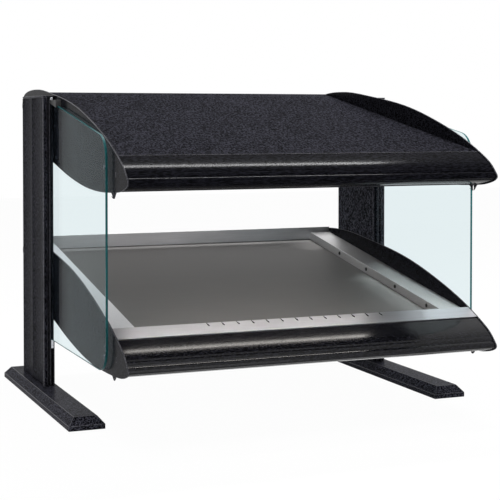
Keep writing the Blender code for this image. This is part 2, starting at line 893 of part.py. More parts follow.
def make_side_rails(shelf):
    low = pan_top + touch_gap
    for word, side in sides.items():
        line = [(side * tray_half, skirt_floor), (side * tray_half, tray_top),
                (side * body_half_width, tray_top), (side * body_half_width, low)]
        outline = folded(line, -sheet * side)
        rail = keep(f"shelf_{word}_rail",
                    prism(outline, "y", rail_front(), rear_rail_place - touch_gap),
                    stainless(), shelf)
        stud_holes(rail, shelf_stud_places(), side, body_half_width - sheet - cut_over,
                   body_half_width + cut_over)
        heads = bmesh.new()
        for y, z in rail_screw_spots():
            add_head(heads, (side * tray_half, y, z), (-side, 0, 0))
        cut(rail, heads, shelf, operation="UNION")


def make_hangers():
    # Plates inside the shelf's rails, whose welded studs pass through the end caps.
    for word, side in sides.items():
        (front_y, front_z), (rear_y, rear_z) = shelf_stud_places()
        reach = hanger_margin
        outline = [(front_y - reach, front_z - reach), (rear_y + reach, rear_z - reach),
                   (rear_y + reach, rear_z + reach), (front_y - reach, front_z + reach)]
        outer = body_half_width - sheet - touch_gap
        hanger = keep(f"shelf_{word}_hanger",
                      prism(outline, "x", side * (outer - hanger_thickness), side * outer), zinc())
        cut(hanger, stud_shape(shelf_stud_places(), side, stud_diameter / 2,
                               outer - hanger_thickness / 2, post_inner + stud_reach),
            operation="UNION")


def make_rear_rail(shelf):
    half = body_half_width
    top = tray_top + upstand_height
    rear_top = tray_top - touch_gap - panel_thickness
    line = [(body_length - touch_gap, rear_top), (rear_rail_place, top),
            (rear_rail_place, skirt_floor)]
    keep("shelf_rear_rail", prism(folded(line, sheet), "x", -half, half), stainless(), shelf)


def make_plate_stack(shelf):
    half = tray_half - touch_gap
    front = tray_front
    rear = rear_rail_place - touch_gap
    heater_top = tray_floor - plate_thickness - touch_gap
    wool_top = heater_top - heater_thickness - touch_gap
    plate = block((-half, front, tray_floor - plate_thickness), (half, rear, tray_floor))
    keep("hot_plate", plate, plate_metal(), shelf)
    heater = block((-half, front, heater_top - heater_thickness), (half, rear, heater_top))
    keep("plate_heater", heater, heater_metal(), shelf)
    layer = block((-half, front, pan_top + touch_gap), (half, rear, wool_top))
    insulation = keep("plate_insulation", layer, wool(), shelf)
    seat = wool_top - touch_gap
    spot = (cutout_across, cutout_place)
    cut(insulation, rod(cutout_diameter / 2 + touch_gap, (*spot, seat - cutout_height - touch_gap),
                        (*spot, wool_top + cut_over), 20), shelf)
    keep("thermal_cutout",
         rod(cutout_diameter / 2, (*spot, seat - cutout_height), (*spot, seat), 20),
         black_plastic(), shelf, smooth=math.radians(40))


def make_pan(shelf):
    half = body_half_width
    low = pan_top - sheet
    line = [(-under_reach, low + pan_lip), (-under_reach, low), (shelf_length, low)]
    keep("shelf_bottom_pan", prism(folded(line, sheet), "x", -half, half), galvanised(), shelf)


# Control panel at the rear of the shelf

panel_low = pan_top + touch_gap
panel_high = tray_top - touch_gap - panel_thickness - sheet - touch_gap
panel_middle = (panel_low + panel_high) / 2
panel_face = shelf_length
panel_inner = shelf_length - panel_thickness


def out_from(across, depth):
    # A place on the control panel, a depth beyond its outer face.
    return (across, panel_face + depth, panel_middle)


facing_out = (-math.pi / 2, 0, 0)


def make_control_panel(shelf):
    half = body_half_width
    panel = keep("control_panel",
                 block((-half, panel_inner, panel_low), (half, panel_face, panel_high)),
                 black_coat(), shelf)
    openings = bmesh.new()
    for across in (power_switch_across, light_switch_across):
        add_block(openings,
                  (across - switch_body_width / 2 - touch_gap, panel_inner - cut_over,
                   panel_middle - switch_body_height / 2 - touch_gap),
                  (across + switch_body_width / 2 + touch_gap, panel_face + cut_over,
                   panel_middle + switch_body_height / 2 + touch_gap))
    rounds = [(hood_control_across, bush_diameter), (thermostat_across, bush_diameter),
              (lamp_across, lamp_diameter), (gland_across, gland_diameter)]
    for across, diameter in rounds:
        add_rod(openings, diameter / 2 + touch_gap, (across, panel_inner - cut_over, panel_middle),
                (across, panel_face + cut_over, panel_middle), 24)
    cut(panel, openings, shelf)
    heads = bmesh.new()
    for side in sides.values():
        add_head(heads, (side * panel_screw_across, panel_face, panel_middle), (0, 1, 0))
    cut(panel, heads, shelf, operation="UNION")


def make_switch(shelf, name, rocker_name, across, colour):
    # The switch is modelled with its face up and then turned to look out of the panel.
    seat = touch_gap
    top = seat + switch_flange_thickness
    half_w = switch_body_width / 2
    half_h = switch_body_height / 2
    body = block((-half_w, -half_h, -switch_body_depth), (half_w, half_h, seat))
    made = keep(name, body, black_plastic(), shelf, out_from(across, 0), facing_out)
    flange = block((-switch_flange_width / 2, -switch_flange_height / 2, seat),
                   (switch_flange_width / 2, switch_flange_height / 2, top))
    cut(made, flange, shelf, out_from(across, 0), facing_out, "UNION")
    pocket = bmesh.new()
    pocket_w = half_w - switch_wall
    pocket_h = half_h - switch_wall
    add_block(pocket, (-pocket_w, -pocket_h, top - pocket_depth), (pocket_w, pocket_h, top + cut_over))
    cut(made, pocket, shelf, out_from(across, 0), facing_out)
    pivot_z = top - rocker_pivot_depth
    pin_hole = rod(rocker_pin / 2 + turn_gap, (-pocket_w - rocker_pin_reach - turn_gap, 0, pivot_z),
                   (pocket_w + rocker_pin_reach + turn_gap, 0, pivot_z), 16)
    cut(made, pin_hole, shelf, out_from(across, 0), facing_out)
    rocker(shelf, rocker_name, across, pivot_z, pocket_w, pocket_h, colour)


def rocker(shelf, name, across, pivot_z, pocket_w, pocket_h, colour, steps=6):
    # A V-shaped rocker on two pins. Its origin is on the pivot, and it rests tipped.
    half_w = pocket_w - turn_gap
    half_h = pocket_h - turn_gap - rocker_thickness * math.sin(rocker_tip)
    rise = rocker_rise
    top = rocker_pivot_depth
    outline = [(-half_h, top + rise)]
    for step in range(1, steps):
        share = 2 * step / steps - 1
        outline.append((share * half_h, top + rise * share ** 2))
    outline += [(half_h, top + rise), (half_h, -rocker_thickness / 2 + rocker_pin / 2),
                (0, -rocker_thickness / 2), (-half_h, -rocker_thickness / 2 + rocker_pin / 2)]
    shape = prism(outline, "x", -half_w, half_w)
    turn = Matrix.Rotation(-math.pi / 2 - rocker_tip, 4, "X")
    place = out_from(across, pivot_z)
    made = keep(name, shape, colour, shelf, place, turn.to_euler())
    pins = rod(rocker_pin / 2, (-half_w - rocker_pin_reach, 0, 0), (half_w + rocker_pin_reach, 0, 0),
               16)
    cut(made, pins, shelf, place, turn.to_euler(), "UNION")


def make_turning_control(shelf, word, across):
    # Body behind the panel, bush through it, shaft and knob outside.
    inner = -panel_thickness - touch_gap
    bush = bush_diameter / 2
    bore = shaft_diameter / 2 + turn_gap
    end = inner - shaft_in_body - turn_gap
    mouth = bush_length - panel_thickness
    profile = [(0, end), (bore, end), (bore, mouth), (bush, mouth), (bush, inner),
               (control_body_diameter / 2, inner),
               (control_body_diameter / 2, inner - control_body_depth),
               (0, inner - control_body_depth)]
    keep(f"{word}_body", turned(profile, 28), black_plastic(), shelf, out_from(across, 0),
         facing_out, smooth=math.radians(40))
    knob_seat = bush_length - panel_thickness + knob_clearance
    tip = knob_seat + shaft_in_knob
    shaft = rod(shaft_diameter / 2, (0, 0, inner - shaft_in_body), (0, 0, tip), 20)
    keep(f"{word}_shaft", shaft, zinc(), shelf, out_from(across, 0), facing_out,
         smooth=math.radians(40))
    keep(f"{word}_knob", knob_shape(knob_clearance, knob_seat, tip), black_plastic(), shelf,
         out_from(across, 0), facing_out, smooth=math.radians(30))


def knob_shape(bottom, seat, tip, segments=48):
    # A skirted knob with a fluted grip, a blind bore for the shaft and room for the bush.
    room = bush_diameter / 2 + knob_clearance
    bore = shaft_diameter / 2 + touch_gap
    ceiling = tip + touch_gap
    top = bottom + knob_height
    shape = bmesh.new()
    rings = []

    def ring(radius, height, fluted=0.0):
        verts = []
        for index in range(segments):
            angle = math.tau * index / segments
            pull = fluted * (0.5 - 0.5 * math.cos(knob_flutes * angle))
            verts.append(shape.verts.new(((radius - pull) * math.cos(angle),
                                          (radius - pull) * math.sin(angle), height)))
        rings.append(verts)

    flute = knob_diameter / 24
    ring(bore, ceiling)
    ring(bore, seat)
    ring(room, seat)
    ring(room, bottom)
    ring(knob_skirt_diameter / 2, bottom)
    ring(knob_skirt_diameter / 2, bottom + knob_skirt / 2)
    ring(knob_diameter / 2, bottom + knob_skirt, flute)
    ring(knob_diameter / 2 - flute, top - flute, flute)
    ring(knob_diameter / 2 - 2 * flute, top, flute)
    shape.faces.new(rings[0])
    for low, high in zip(rings, rings[1:]):
        for index in range(segments):
            following = (index + 1) % segments
            shape.faces.new((low[index], low[following], high[following], high[index]))
    shape.faces.new(rings[-1])
    return shape


def make_lamp(shelf):
    profile = [(0, -lamp_body_depth), (lamp_diameter / 2, -lamp_body_depth),
               (lamp_diameter / 2, touch_gap), (lamp_bezel / 2, touch_gap),
               (lamp_bezel / 2, touch_gap + lamp_bezel_height),
               (lamp_diameter / 2, touch_gap + lamp_bezel_height)]
    for step in range(1, 4):
        angle = math.pi / 2 * step / 4
        profile.append((lamp_diameter / 2 * math.cos(angle),
                        touch_gap + lamp_bezel_height + lamp_dome * math.sin(angle)))
    profile.append((0, touch_gap + lamp_bezel_height + lamp_dome))
    keep("indicator_lamp", turned(profile, 20), red_plastic(), shelf, out_from(lamp_across, 0),
         facing_out, smooth=math.radians(40))


def make_gland(shelf):
    # The gland, with its nut behind the panel.
    bore = gland_bore / 2
    inner = -panel_thickness - touch_gap
    thread = gland_diameter / 2
    rim = gland_hex / 2
    hexagon = touch_gap + gland_hex_height
    mouth = gland_dome + gland_hex_height / 2
    profile = [(bore, inner - 2 * gland_nut_height), (thread, inner - 2 * gland_nut_height),
               (thread, inner - gland_nut_height), (rim, inner - gland_nut_height), (rim, inner),
               (thread, inner), (thread, touch_gap), (rim, touch_gap), (rim, hexagon),
               (thread, hexagon), (thread, gland_dome), (bore + (thread - bore) / 3, mouth),
               (bore, mouth)]
    keep("cord_gland", turned(profile, 24), black_plastic(), shelf, out_from(gland_across, 0),
         facing_out, smooth=math.radians(40))


def make_terminal_block(shelf):
    low = pan_top + touch_gap
    rear = panel_inner - touch_gap
    half = terminal_length / 2
    shape = block((terminal_across - half, rear - terminal_depth, low),
                  (terminal_across + half, rear, low + terminal_height))
    made = keep("terminal_block", shape, ceramic(), shelf)
    slots = bmesh.new()
    pitch = terminal_length / terminal_ways
    for index in range(terminal_ways):
        across = terminal_across - half + (index + 0.5) * pitch
        add_rod(slots, pitch / 4, (across, rear - terminal_depth / 2, low + terminal_height / 2),
                (across, rear - terminal_depth / 2, low + terminal_height + cut_over), 12)
    cut(made, slots, shelf)


# Feet and posts

def make_feet():
    for word, side in sides.items():
        outer = side * foot_outer
        inner = side * foot_inner
        low = pad_thickness + touch_gap
        band = low + foot_side_height
        front = foot_rear - foot_length
        shape = block(*low_high((inner, front, low), (outer, foot_rear, band)))
        top = max(shape.faces, key=lambda face: face.calc_center_median().z)
        bmesh.ops.inset_region(shape, faces=[top], thickness=foot_bevel, depth=0)
        bmesh.ops.translate(shape, vec=(0, 0, foot_top - band), verts=top.verts)
        foot = keep(f"{word}_foot", shape, black_coat())
        holes = bmesh.new()
        studs = bmesh.new()
        for x, y in foot_stud_spots(side):
            add_rod(holes, stud_diameter / 2 + screw_gap, (x, y, low - cut_over),
                    (x, y, foot_top + cut_over), 16)
            add_rod(studs, stud_diameter / 2, (x, y, low + foot_plate_thickness / 2),
                    (x, y, foot_top + foot_stud_reach), 16)
        cut(foot, holes)
        (x, first), (_, second) = foot_stud_spots(side)
        reach = foot_plate_margin
        plate_low = (x - reach, first - reach, low)
        plate_high = (x + reach, second + reach, low + foot_plate_thickness)
        sink = block([value - touch_gap for value in plate_low[:2]] + [low - cut_over],
                     [value + touch_gap for value in plate_high])
        cut(foot, sink)
        plate = keep(f"{word}_foot_stud_plate", block(plate_low, plate_high), zinc())
        cut(plate, studs, operation="UNION")
        pad = block(*low_high((inner + side * pad_margin, front + pad_margin, 0),
                              (outer - side * pad_margin, foot_rear - pad_margin, pad_thickness)))
        keep(f"{word}_foot_pad", pad, rubber())


def foot_stud_spots(side):
    middle = side * (post_inner + post_outer) / 2
    return [(middle, y) for y in stud_rows()]


def scallop(start, end):
    # Points of a shallow hollow in the post's outer side, from the front to the rear.
    points = []
    for step in range(flute_steps + 1):
        share = step / flute_steps
        deep = flute_depth * math.sin(math.pi * share) ** 0.6
        points.append((post_outer - deep, start + (end - start) * share))
    return points


def post_section():
    # Outline of the right post, across X and Y, from the front of its inner wall.
    wall = post_inner + groove_wall
    fence = groove_outer + fence_width
    recess = fence + recess_width
    front = post_front
    side_start = front + lip_length
    side_end = post_rear - post_corner
    flute = (side_end - side_start - flute_ridge) / 2
    outline = [(post_inner, front + groove_setback), (wall, front + groove_setback),
               (wall, front + groove_setback + groove_depth),
               (groove_outer, front + groove_setback + groove_depth),
               (groove_outer, front + fence_setback), (fence, front + fence_setback),
               (fence, front + recess_depth), (recess, front + recess_depth), (recess, front),
               (post_outer - sheet, front), (post_outer, front + sheet)]
    outline += scallop(side_start, side_start + flute)
    outline += scallop(side_end - flute, side_end)
    for step in range(1, 4):
        angle = math.pi / 2 * step / 3
        outline.append((post_outer - post_corner + post_corner * math.cos(angle),
                        post_rear - post_corner + post_corner * math.sin(angle)))
    outline.append((post_inner, post_rear))
    return outline


def make_posts():
    top = post_top - post_cap_thickness - touch_gap
    low = foot_top + touch_gap
    for word, side in sides.items():
        outline = [(side * x, y) for x, y in post_section()]
        post = keep(f"{word}_post", prism(outline, "z", low, top), black_extrusion(),
                    smooth=math.radians(25))
        start = post_front + chamber_start
        cut(post, block(*low_high((side * (post_inner + chamber_wall), start, low - cut_over),
                                  (side * (post_outer - chamber_wall), start + chamber_length,
                                   top + cut_over))))
        ports = bmesh.new()
        for x, y in foot_stud_spots(side):
            add_rod(ports, stud_diameter / 2 + screw_gap, (x, y, low - cut_over),
                    (x, y, foot_top + foot_stud_reach + screw_gap), 16)
        for y, z in shelf_stud_places() + hood_stud_places():
            add_rod(ports, stud_diameter / 2 + screw_gap,
                    (side * (post_inner - cut_over), y, z),
                    (side * (post_inner + stud_reach + screw_gap), y, z), 16)
        cut(post, ports)
        cap = [(side * post_inner, post_front + groove_setback),
               (side * (post_inner + groove_setback), post_front),
               (side * (post_outer - sheet), post_front), (side * post_outer, post_front + sheet),
               (side * post_outer, post_rear - post_corner),
               (side * (post_outer - post_corner), post_rear), (side * post_inner, post_rear)]
        keep(f"{word}_post_cap", prism(cap, "z", post_top - post_cap_thickness, post_top),
             black_coat())


# Glass

def glass_top(y):
    # The top edge climbs in a straight line from the front corner.
    return glass_front_height + (y - glass_front - glass_corner) * math.tan(glass_slope)


def glass_outline():
    rear = post_front + groove_setback + glass_in_groove
    outline = [(rear, glass_bottom)]
    centre_y = glass_front + glass_corner
    centre_low = glass_bottom + glass_corner
    for step in range(glass_corner_steps + 1):
        angle = math.pi / 2 * (1 + step / glass_corner_steps)
        outline.append((centre_y + glass_corner * math.cos(angle),
                        centre_low - glass_corner * math.sin(angle)))
    # the upper corner's centre keeps the top edge tangent to its arc
    centre_high = glass_top(centre_y) - glass_corner / math.cos(glass_slope)
    sweep = math.pi / 2 - glass_slope
    for step in range(glass_corner_steps + 1):
        angle = math.pi - sweep * step / glass_corner_steps
        outline.append((centre_y + glass_corner * math.cos(angle),
                        centre_high + glass_corner * math.sin(angle)))
    outline.append((rear, glass_top(rear)))
    return outline


def make_glass():
    groove_front = post_front + fence_setback
    for word, side in sides.items():
        keep(f"{word}_glass", prism(glass_outline(), "x", side * glass_inner, side * glass_outer),
             clear_glass())
        clip_end = clip_front + clip_length
        bottom = [(clip_front, glass_top(clip_front) - clip_lap),
                  (clip_end, glass_top(clip_end) - clip_lap),
                  (clip_end, clip_top), (clip_front, clip_top)]
        clip = keep(f"{word}_glass_clip",
                    prism(bottom, "x", side * post_inner, side * (groove_outer + clip_wall)),
                    black_plastic())
        slot = [(clip_front - cut_over, clip_bottom(clip_front - cut_over)),
                (clip_end + cut_over, clip_bottom(clip_end + cut_over)),
                (clip_end + cut_over, glass_top(clip_end + cut_over) + touch_gap),
                (clip_front - cut_over, glass_top(clip_front - cut_over) + touch_gap)]
        cut(clip, prism(slot, "x", side * (glass_inner - touch_gap), side * groove_outer))
        rear = groove_front + stop_length
        top = glass_bottom - touch_gap
        lower = block(*low_high((side * glass_inner, groove_front, top - stop_height),
                                (side * glass_outer, rear, top)))
        keep(f"{word}_lower_glass_stop", lower, zinc())
        upper = [(groove_front, glass_top(groove_front) + touch_gap),
                 (rear, glass_top(rear) + touch_gap),
                 (rear, post_top - post_cap_thickness - touch_gap),
                 (groove_front, post_top - post_cap_thickness - touch_gap)]
        keep(f"{word}_upper_glass_stop",
             prism(upper, "x", side * glass_inner, side * glass_outer), zinc())


def clip_bottom(y):
    return glass_top(y) - clip_lap - cut_over


def build():
    for old in list(bpy.data.objects):
        bpy.data.objects.remove(old, do_unlink=True)
    hood = frame_at("hood_frame", crease.x, crease.y + tier_rise, hood_slope)
    shelf = frame_at("shelf_frame", crease.x, crease.y, shelf_slope)
    make_feet()
    make_posts()
    make_end_caps()
    make_bumpers()
    make_hood_shell(hood)
    make_heat(hood)
    make_guard(hood)
    make_light(hood)
    make_front_strip(shelf)
    make_side_rails(shelf)
    make_hangers()
    make_rear_rail(shelf)
    make_plate_stack(shelf)
    make_pan(shelf)
    make_control_panel(shelf)
    make_switch(shelf, "power_switch_body", "power_rocker", power_switch_across, red_plastic())
    make_switch(shelf, "light_switch_body", "light_rocker", light_switch_across, black_plastic())
    make_turning_control(shelf, "hood_control", hood_control_across)
    make_turning_control(shelf, "shelf_thermostat", thermostat_across)
    make_lamp(shelf)
    make_gland(shelf)
    make_terminal_block(shelf)
    make_glass()


build()
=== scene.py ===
import json
import math
import bmesh
import bpy
from mathutils import Matrix, Vector
from mathutils.bvhtree import BVHTree


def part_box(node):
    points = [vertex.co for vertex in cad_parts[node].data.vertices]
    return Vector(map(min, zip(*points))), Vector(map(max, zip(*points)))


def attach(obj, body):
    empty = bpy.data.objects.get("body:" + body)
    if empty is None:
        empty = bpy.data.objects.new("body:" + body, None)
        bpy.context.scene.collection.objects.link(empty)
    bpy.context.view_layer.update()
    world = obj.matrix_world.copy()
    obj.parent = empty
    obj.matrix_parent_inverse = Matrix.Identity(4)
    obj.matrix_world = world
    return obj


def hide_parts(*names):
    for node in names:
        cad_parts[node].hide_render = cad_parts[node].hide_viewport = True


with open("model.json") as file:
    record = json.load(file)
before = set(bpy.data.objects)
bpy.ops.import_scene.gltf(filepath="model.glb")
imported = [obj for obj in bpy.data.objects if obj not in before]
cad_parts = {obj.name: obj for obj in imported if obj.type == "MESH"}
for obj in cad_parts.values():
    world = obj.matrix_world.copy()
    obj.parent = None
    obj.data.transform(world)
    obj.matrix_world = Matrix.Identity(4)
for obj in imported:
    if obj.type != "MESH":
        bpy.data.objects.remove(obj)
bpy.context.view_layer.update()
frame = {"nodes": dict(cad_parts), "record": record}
print("frame loaded")

record = frame["record"]
bodyOf = {node: body for body, nodes in record["behaviour"]["bodies"].items() for node in nodes}
slotOf = {part["node"]: part["material_slot"] for part in record["subparts"]}

# The shelf slopes down to the front. Its front edge is the corner, in y and z, and lengths are in metres

shelfFrame = {"corner": (-0.2906, 0.161435), "slope": math.radians(9.62)}
shelfUp = Vector((0.0, -math.sin(shelfFrame["slope"]), math.cos(shelfFrame["slope"])))
panelOut = Vector((0.0, math.cos(shelfFrame["slope"]), math.sin(shelfFrame["slope"])))
panelRow = (0.326428, 0.240358)  # y and z of the middle of the controls


# Small helpers

def hexToLinear(code):
    parts = [int(code[at:at + 2], 16) / 255 for at in (1, 3, 5)]
    linear = [((part + 0.055) / 1.055) ** 2.4 if part > 0.04045 else part / 12.92 for part in parts]
    return (*linear, 1.0)


def patternScale(millimetres):
    return 1000 / millimetres


def addNode(tree, kind, settings=None, links=None):
    node = tree.nodes.new(kind)
    for key, value in (settings or {}).items():
        if isinstance(key, str) and hasattr(node, key):
            setattr(node, key, value)
        else:
            node.inputs[key].default_value = value
    for key, source in (links or {}).items():
        tree.links.new(source, node.inputs[key])
    return node


def startMaterial(name, settings):
    material = bpy.data.materials.new(name)
    material.use_nodes = True
    tree = material.node_tree
    tree.nodes.clear()
    shader = addNode(tree, "ShaderNodeBsdfPrincipled", settings)
    addNode(tree, "ShaderNodeOutputMaterial", None, {"Surface": shader.outputs["BSDF"]})
    place = addNode(tree, "ShaderNodeTexCoord").outputs["Object"]
    return material, tree, shader, place


def coverSurface(tree, shader, colour, rough, bump):
    tree.links.new(colour.outputs[2], shader.inputs["Base Color"])
    tree.links.new(rough.outputs["Result"], shader.inputs["Roughness"])
    tree.links.new(bump.outputs["Normal"], shader.inputs["Normal"])


meshRules = {"weld": 0.00001, "flatDegrees": 0.6, "sharpDegrees": 38, "shadeDegrees": 50, "roundSteps": 2}


def mergedCopy(node):
    work = bmesh.new()
    work.from_mesh(frame["nodes"][node].data)
    bmesh.ops.remove_doubles(work, verts=work.verts, dist=meshRules["weld"])
    bmesh.ops.dissolve_limit(work, angle_limit=math.radians(meshRules["flatDegrees"]),
                             verts=work.verts, edges=work.edges)
    return work


def finishPiece(work, name, body, materials, replaces=(), shadeDegrees=meshRules["shadeDegrees"]):
    for edge in work.edges:
        edge.smooth = len(edge.link_faces) == 2 and edge.calc_face_angle(0) < math.radians(shadeDegrees)
    for face in work.faces:
        face.smooth = True
    mesh = bpy.data.meshes.new(name)
    work.to_mesh(mesh)
    work.free()
    for material in materials:
        mesh.materials.append(material)
    piece = bpy.data.objects.new(name, mesh)
    bpy.context.scene.collection.objects.link(piece)
    piece.modifiers.new("even shading", "WEIGHTED_NORMAL").keep_sharp = True
    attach(piece, body)
    if replaces:
        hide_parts(*replaces)
    return piece


def roundEdges(work, width, rubbedAndHighlitFaces):
    # Rounds the sharp edges, and gives the new narrow faces the second material. On the coats that is a
    # lighter edge: partly rubbed wear, partly a painted highlight
    sharp = [edge for edge in work.edges if len(edge.link_faces) == 2
             and edge.calc_face_angle(0) > math.radians(meshRules["sharpDegrees"])]
    made = bmesh.ops.bevel(work, geom=sharp, offset=width, offset_type="OFFSET", affect="EDGES",
                           segments=meshRules["roundSteps"], profile=0.5, material=-1, clamp_overlap=False)
    if rubbedAndHighlitFaces:
        for face in made["faces"]:
            face.material_index = 1


def roundedCopy(node, width, materials):
    low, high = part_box(node)
    work = mergedCopy(node)
    if width:
        roundEdges(work, width, len(materials) > 1)
    for vert in work.verts:  # a rounded corner never leaves the solid's own box
        vert.co = Vector([min(max(vert.co[i], low[i]), high[i]) for i in range(3)])
    return finishPiece(work, node + "_finish", bodyOf[node], materials, [node])


# Materials. Every grain and pattern is given in millimetres

powderCoat = {"grainFrom": 0.44, "grainTo": 0.6, "cloudSize": 70, "cloudShare": 0.35, "cloudDrop": -0.17,
              "glossier": 0.05, "duller": 0.07, "pebbleShare": 0.45}


def texturedPowderCoat(name, low, high, roughness, grain, specular, stretch=(1.0, 1.0, 1.0), depth=0.0001):
    # Textured epoxy powder coat, sprayed and baked: a fine pebbled black skin that breaks every highlight
    # The real grain is about 0.4 mm, too fine to show, so it is drawn as coarse as each call gives
    material, tree, shader, place = startMaterial(name, {"Specular IOR Level": specular})
    place = addNode(tree, "ShaderNodeMapping", {"Scale": stretch}, {"Vector": place}).outputs["Vector"]
    grainNoise = addNode(tree, "ShaderNodeTexNoise",
                         {"Scale": patternScale(grain), "Detail": 2.0, "Roughness": 0.7}, {"Vector": place})
    cloud = addNode(tree, "ShaderNodeTexNoise",
                    {"Scale": patternScale(powderCoat["cloudSize"]), "Detail": 3.0}, {"Vector": place})
    spread = addNode(tree, "ShaderNodeMapRange",
                     {"From Min": powderCoat["grainFrom"], "From Max": powderCoat["grainTo"]},
                     {"Value": grainNoise.outputs["Fac"]})
    drift = addNode(tree, "ShaderNodeMath",
                    {"operation": "MULTIPLY_ADD", 1: powderCoat["cloudShare"], 2: powderCoat["cloudDrop"]},
                    {0: cloud.outputs["Fac"]})
    both = addNode(tree, "ShaderNodeMath", {"operation": "ADD", "use_clamp": True},
                   {0: spread.outputs["Result"], 1: drift.outputs["Value"]})
    colour = addNode(tree, "ShaderNodeMix", {"data_type": "RGBA", 6: hexToLinear(low), 7: hexToLinear(high)},
                     {0: both.outputs["Value"]})
    rough = addNode(tree, "ShaderNodeMapRange",
                    {"To Min": roughness - powderCoat["glossier"],
                     "To Max": roughness + powderCoat["duller"]}, {"Value": grainNoise.outputs["Fac"]})
    pebble = addNode(tree, "ShaderNodeTexNoise",
                     {"Scale": patternScale(grain * powderCoat["pebbleShare"]), "Detail": 1.0},
                     {"Vector": place})
    bump = addNode(tree, "ShaderNodeBump", {"Strength": 1.0, "Distance": depth},
                   {"Height": pebble.outputs["Fac"]})
    coverSurface(tree, shader, colour, rough, bump)
    return material


groundMetal = {"strokeRatio": 60, "cloudSize": 90, "cloudShare": 0.45, "strokeFrom": 0.3, "strokeTo": 0.7,
               "glossier": 0.06, "duller": 0.1, "depth": 0.00008}


def brushedMetal(name, low, high, along="x", roughness=0.32, stroke=0.8, marks=0.25, smear=0.75):
    # Satin metal, ground with a belt: long fine strokes one way, which smear reflections across them
    # Real strokes are about 0.1 mm apart, too fine to show, so they are drawn as coarse as stroke gives
    material, tree, shader, place = startMaterial(name, {"Metallic": 1.0, "Anisotropic": smear})
    side = {"x": (0.0, 1.0, 0.0), "y": (1.0, 0.0, 0.0)}[along]
    acrossStrokes = addNode(tree, "ShaderNodeCombineXYZ", {"X": side[0], "Y": side[1], "Z": side[2]})
    tree.links.new(acrossStrokes.outputs["Vector"], shader.inputs["Tangent"])
    across = patternScale(stroke)
    lengthwise = across / groundMetal["strokeRatio"]
    scales = {"x": (lengthwise, across, across), "y": (across, lengthwise, across)}
    stretched = addNode(tree, "ShaderNodeMapping", {"Scale": scales[along]}, {"Vector": place})
    strokes = addNode(tree, "ShaderNodeTexNoise", {"Scale": 1.0, "Detail": 3.0, "Roughness": 0.6},
                      {"Vector": stretched.outputs["Vector"]})
    cloud = addNode(tree, "ShaderNodeTexNoise",
                    {"Scale": patternScale(groundMetal["cloudSize"]), "Detail": 4.0}, {"Vector": place})
    spread = addNode(tree, "ShaderNodeMapRange",
                     {"From Min": groundMetal["strokeFrom"], "From Max": groundMetal["strokeTo"]},
                     {"Value": strokes.outputs["Fac"]})
    mixed = addNode(tree, "ShaderNodeMix", {0: groundMetal["cloudShare"]},
                    {2: spread.outputs["Result"], 3: cloud.outputs["Fac"]})
    colour = addNode(tree, "ShaderNodeMix", {"data_type": "RGBA", 6: hexToLinear(low), 7: hexToLinear(high)},
                     {0: mixed.outputs[0]})
    rough = addNode(tree, "ShaderNodeMapRange",
                    {"To Min": roughness - groundMetal["glossier"],
                     "To Max": roughness + groundMetal["duller"]}, {"Value": mixed.outputs[0]})
    bump = addNode(tree, "ShaderNodeBump", {"Strength": marks, "Distance": groundMetal["depth"]},
                   {"Height": strokes.outputs["Fac"]})
    coverSurface(tree, shader, colour, rough, bump)
    return material


specks = {"from": 0.35, "to": 0.65, "glossier": 0.05, "duller": 0.08}


def speckled(name, low, high, settings, speck, roughness, depth=0.0001, strength=0.3, stretch=None):
    # A plain surface with a fine speckle in its colour, gloss and height
    material, tree, shader, place = startMaterial(name, settings)
    if stretch:
        place = addNode(tree, "ShaderNodeMapping", {"Scale": stretch}, {"Vector": place}).outputs["Vector"]
    dots = addNode(tree, "ShaderNodeTexNoise",
                   {"Scale": patternScale(speck), "Detail": 3.0, "Roughness": 0.6}, {"Vector": place})
    spread = addNode(tree, "ShaderNodeMapRange", {"From Min": specks["from"], "From Max": specks["to"]},
                     {"Value": dots.outputs["Fac"]})
    colour = addNode(tree, "ShaderNodeMix", {"data_type": "RGBA", 6: hexToLinear(low), 7: hexToLinear(high)},
                     {0: spread.outputs["Result"]})
    rough = addNode(tree, "ShaderNodeMapRange",
                    {"To Min": roughness - specks["glossier"], "To Max": roughness + specks["duller"]},
                    {"Value": spread.outputs["Result"]})
    bump = addNode(tree, "ShaderNodeBump", {"Strength": strength, "Distance": depth},
                   {"Height": dots.outputs["Fac"]})
    coverSurface(tree, shader, colour, rough, bump)
    return material


zincCrystals = {"size": 6, "low": "#8f9396", "high": "#b9bdc0", "glossy": 0.35, "dull": 0.55,
                "strength": 0.2, "depth": 0.00005}


def galvanisedSheet():
    # Hot-dipped zinc on steel: flat crystals, each of its own grey and gloss
    material, tree, shader, place = startMaterial("galvanised sheet", {"Metallic": 1.0})
    crystals = addNode(tree, "ShaderNodeTexVoronoi", {"Scale": patternScale(zincCrystals["size"])},
                       {"Vector": place})
    grey = addNode(tree, "ShaderNodeSeparateColor", None, {"Color": crystals.outputs["Color"]})
    colour = addNode(tree, "ShaderNodeMix", {"data_type": "RGBA", 6: hexToLinear(zincCrystals["low"]),
                                             7: hexToLinear(zincCrystals["high"])}, {0: grey.outputs["Red"]})
    rough = addNode(tree, "ShaderNodeMapRange",
                    {"To Min": zincCrystals["glossy"], "To Max": zincCrystals["dull"]},
                    {"Value": grey.outputs["Green"]})
    bump = addNode(tree, "ShaderNodeBump",
                   {"Strength": zincCrystals["strength"], "Distance": zincCrystals["depth"]},
                   {"Height": grey.outputs["Red"]})
    coverSurface(tree, shader, colour, rough, bump)
    return material


pane = {"tint": "#e6f1f3", "shadowTint": "#e8f0f0", "bend": 1.035, "wipeTurn": (0.5, 0.0, 0.0),
        "wipeStretch": (1.0, 2.0, 14.0), "wipeScale": 3.0, "filmFrom": 0.4, "filmTo": 0.8,
        "filmRoughness": 0.035}


